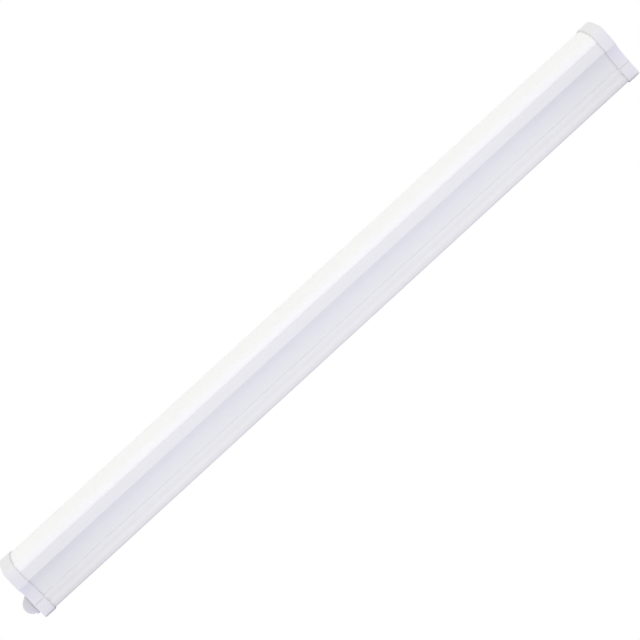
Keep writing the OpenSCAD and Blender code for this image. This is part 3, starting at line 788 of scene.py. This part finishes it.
def tube(name, points, r, steps=7):
    """Round wire along a smooth path, its points' heights from the housing's underside."""
    p = [Vector(q) + Vector((0, 0, LIFT)) for q in points]
    path = [spline(p, i, k / steps) for i in range(len(p) - 1) for k in range(steps)] + [p[-1]]
    side = None
    rings = []
    for i, q in enumerate(path):
        d = (path[min(i + 1, len(path) - 1)] - path[max(i - 1, 0)]).normalized()
        side = side or Vector((0, 0.31, 0.95))
        side = (side - d * side.dot(d)).normalized()
        other = d.cross(side)
        rings.append([(q + r * (side * math.cos(t) + other * math.sin(t))) * MM
                      for t in [2 * math.pi * k / WIRE_SIDES for k in range(WIRE_SIDES)]])
    return loft(name, rings, 50)


TERM_B = -264.0                 # the terminal's inner end
POLE_UP = 17.1                  # height of its three poles


def input_points(y):
    """From the terminal to the driver."""
    return [(TERM_B - 8, y, POLE_UP), (TERM_B - 4, y, POLE_UP), (TERM_B + 1, y, POLE_UP),
            (TERM_B + 8, y, POLE_UP - 0.4), (DRV_A - 8, y, DRV_PORT + 0.4), (DRV_A - 1, y, DRV_PORT),
            (DRV_A + 3, y, DRV_PORT), (DRV_A + 8, y, DRV_PORT + 2), (DRV_A + 9.5, y, DRV_PORT + 5),
            (DRV_A + 9.5, y, DRV_PORT + 6.7), (DRV_A + 9.5, y, DRV_BOARD)]


def earth_points():
    """From the terminal up to the tag on the tray."""
    y, low = 7, TRAY_LOW - 1.5
    return [(TERM_B - 8, y, POLE_UP), (TERM_B - 4, y, POLE_UP), (TERM_B + 0.6, y, POLE_UP),
            (TERM_B + 3, y + 1.4, POLE_UP + 1.4), (TERM_B + 3.4, y + 4.6, POLE_UP + 5),
            (TERM_B + 2, y + 7.4, TRAY_LOW - 2.2), (TERM_B + 3.4, EARTH_SPOT[1], low),
            (TERM_B + 4.6, EARTH_SPOT[1], low), (TERM_B + 5.8, EARTH_SPOT[1], low)]


def output_points(s):
    """From the driver, along the housing and up through the grommet to a board's connector."""
    gx, gy, up = GROMMET[0] - s * 1.2, GROMMET[1], BOARD_TOP + 2.3
    return [(DRV_B - 8, s * 3, DRV_BOARD), (DRV_B - 8, s * 3, DRV_PORT + 6.7),
            (DRV_B - 8, s * 3, DRV_PORT + 5), (DRV_B - 6.8, s * 3, DRV_PORT + 1.6),
            (DRV_B - 3, s * 3, DRV_PORT + 0.1), (DRV_B + 3, s * 3, DRV_PORT),
            (DRV_B + 18, s * 2.2, 11.5), (gx - 34, s * 1.6 + 1, 9.5), (gx - 14, s * 1.6 + 7, 11.5),
            (gx - 2.4, gy - 2, 18), (gx, gy, 23.5), (gx, gy, TRAY_TOP), (gx, gy - 0.4, up - 1.1),
            (gx, gy - 2.6, up), (gx, 9, up), (gx, 7, up)]


def jumper_points(y):
    """Across the gap between the two boards."""
    up = BOARD_TOP + 2.3
    return [(-6, y, up), (-3.6, y, up), (0, y, up + 1.2), (3.6, y, up), (6, y, up)]


def core(ob, colour, node):
    return piece(ob, "housing", M[colour + "_core"], [node])


core(tube("live_core", input_points(-7), 0.9), "brown", "live_wire")
core(tube("neutral_core", input_points(0), 0.9), "blue", "neutral_wire")
core(tube("positive_core", output_points(-1), 0.8), "red", "positive_wire")
core(tube("negative_core", output_points(1), 0.8), "black", "negative_wire")
jumpers = [tube("jumper", jumper_points(y), 0.8) for y in (-1.8, 1.8)]
core(joined("jumper_cores", jumpers), "white", "jumper_wires")
earth = core(tube("earth_core", earth_points(), 0.7), "green", "earth_wire")
earth.data.materials.append(M["yellow_core"])
for i, poly in enumerate(earth.data.polygons):                    # two yellow stripes along its sleeve
    if i % WIRE_SIDES in (0, 1, 2, 8, 9, 10):
        poly.material_index = 1


def grommet():
    """Rubber ring with a groove that grips the tray's hole."""
    section = [(0.0, 2.9), (0.12, 2.8), (2.88, 2.8), (3.0, 2.9), (3.0, 4.4), (2.85, 4.66), (2.5, 4.7),
               (2.12, 4.62), (2.0, 4.4), (2.0, 3.95), (1.0, 3.95), (1.0, 4.4), (0.88, 4.62), (0.5, 4.7),
               (0.15, 4.66), (0.0, 4.4)]
    ring = lathe("tray_grommet_ring", section, (*GROMMET, TRAY_LOW - 1), "z", 56)
    piece(ring, "housing", M["rubber"], ["tray_grommet"])


grommet()


# ---- Camera ----

ELEVATION = math.radians(6)
ROLL = math.radians(42.53)
DISTANCE = 2.44
LENS = 182.78
AIM = (0.0001, 0, 0.02306)


def look(cam, at, distance, elevation, roll):
    """Camera on the near side at a slight height, turned about its own axis."""
    back = Vector((0, -math.cos(elevation), math.sin(elevation)))
    level_up = Vector((0, math.sin(elevation), math.cos(elevation)))
    right = Vector((math.cos(roll), 0, 0)) - level_up * math.sin(roll)
    up = Vector((math.sin(roll), 0, 0)) + level_up * math.cos(roll)
    m = Matrix.Identity(4)
    for i in range(3):
        m[i][0], m[i][1], m[i][2] = right[i], up[i], back[i]
        m[i][3] = at[i] + back[i] * distance
    cam.matrix_world = m


cam = bpy.data.objects.new("camera", bpy.data.cameras.new("camera"))
bpy.context.scene.collection.objects.link(cam)
cam.data.lens = LENS
cam.data.sensor_width = 36
cam.data.clip_end = 20
look(cam, AIM, DISTANCE, ELEVATION, ROLL)
bpy.context.scene.camera = cam

# ---- Floor and light ----

bpy.context.scene.view_settings.view_transform = "Standard"


def lit_and_shown(nt, lit, shown, output):
    """Lights the scene with one shader and shows the camera another."""
    path = nt.nodes.new("ShaderNodeLightPath")
    mix = nt.nodes.new("ShaderNodeMixShader")
    nt.links.new(path.outputs["Is Camera Ray"], mix.inputs["Fac"])
    nt.links.new(lit.outputs[0], mix.inputs[1])
    nt.links.new(shown.outputs[0], mix.inputs[2])
    nt.links.new(mix.outputs[0], nt.nodes[output].inputs["Surface"])


def studio():
    """Even white surround that lights the scene a little less strongly than it shows."""
    world = bpy.data.worlds.new("studio")
    bpy.context.scene.world = world
    world.use_nodes = True
    nt = world.node_tree
    back = nt.nodes["Background"]
    back.inputs["Color"].default_value = (1, 1, 1, 1)
    back.inputs["Strength"].default_value = 0.935
    shown = nt.nodes.new("ShaderNodeBackground")
    shown.inputs["Color"].default_value = (1, 1, 1, 1)
    shown.inputs["Strength"].default_value = 1.0
    lit_and_shown(nt, back, shown, "World Output")


def ramp(nt, value, near, far, start, end):
    """Smooth change from start to end as value runs from near to far."""
    r = nt.nodes.new("ShaderNodeMapRange")
    r.interpolation_type = "SMOOTHSTEP"
    for name, number in (("From Min", near), ("From Max", far), ("To Min", start), ("To Max", end)):
        r.inputs[name].default_value = number
    nt.links.new(value, r.inputs["Value"])
    return r.outputs["Result"]


def maths(nt, operation, *values):
    """Math node on one or two values."""
    n = nt.nodes.new("ShaderNodeMath")
    n.operation = operation
    for socket, value in zip(n.inputs, values):
        nt.links.new(value, socket)
    return n.outputs[0]


def floor_white():
    """White sweep: full white to the eye, a cooler bounce on the object that fades at its ends."""
    m = bpy.data.materials.new("floor_white")
    m.use_nodes = True
    nt = m.node_tree
    bsdf = nt.nodes["Principled BSDF"]
    bsdf.inputs["Base Color"].default_value = (0.30, 0.30, 0.36, 1)
    bsdf.inputs["Roughness"].default_value = 1.0
    bsdf.inputs["Specular IOR Level"].default_value = 0.0
    bsdf.inputs["Emission Color"].default_value = (0.92, 0.92, 1.04, 1)
    coord = nt.nodes.new("ShaderNodeTexCoord")
    split = nt.nodes.new("ShaderNodeSeparateXYZ")
    nt.links.new(coord.outputs["Object"], split.inputs[0])
    along = maths(nt, "ABSOLUTE", split.outputs["X"])
    across = maths(nt, "ABSOLUTE", split.outputs["Y"])
    glow = ramp(nt, along, 0.18, 0.34, 0.60, 0.52)                # less towards the tube's ends
    at_end = ramp(nt, along, 0.18, 0.30, 0.0, 0.06)               # a dip near the ends,
    near = ramp(nt, across, 0.05, 0.11, 1.0, 0.0)                 # close beside the tube
    contact = ramp(nt, across, 0.024, 0.030, 0.26, 0.0)           # a dip under its base
    under = ramp(nt, along, 0.297, 0.303, 1.0, -0.7)              # and a rise beyond its end faces
    dips = maths(nt, "ADD", maths(nt, "MULTIPLY", at_end, near), contact)
    strength = maths(nt, "SUBTRACT", glow, maths(nt, "MULTIPLY", dips, under))
    nt.links.new(strength, bsdf.inputs["Emission Strength"])
    shown = nt.nodes.new("ShaderNodeEmission")
    shown.inputs["Strength"].default_value = 1.0
    lit_and_shown(nt, bsdf, shown, "Material Output")
    return m


def softbox(name, at, target, size, power, colour):
    light = bpy.data.lights.new(name, "AREA")
    light.shape = "RECTANGLE"
    light.size, light.size_y = size
    light.energy = power
    light.color = colour
    ob = bpy.data.objects.new(name, light)
    bpy.context.scene.collection.objects.link(ob)
    ob.location = at
    ob.rotation_euler = (Vector(target) - Vector(at)).to_track_quat("-Z", "Y").to_euler()
    ob.visible_camera = False


studio()
bm = bmesh.new()
bmesh.ops.create_grid(bm, x_segments=2, y_segments=2, size=12)
floor = finish_mesh("floor", bm)
floor.data.materials.append(floor_white())
softbox("front", at=(0, -2.2, 0.33), target=(0, 0, 0.02), size=(1.6, 1.2), power=5.5,
        colour=(1.0, 0.99, 1.0))
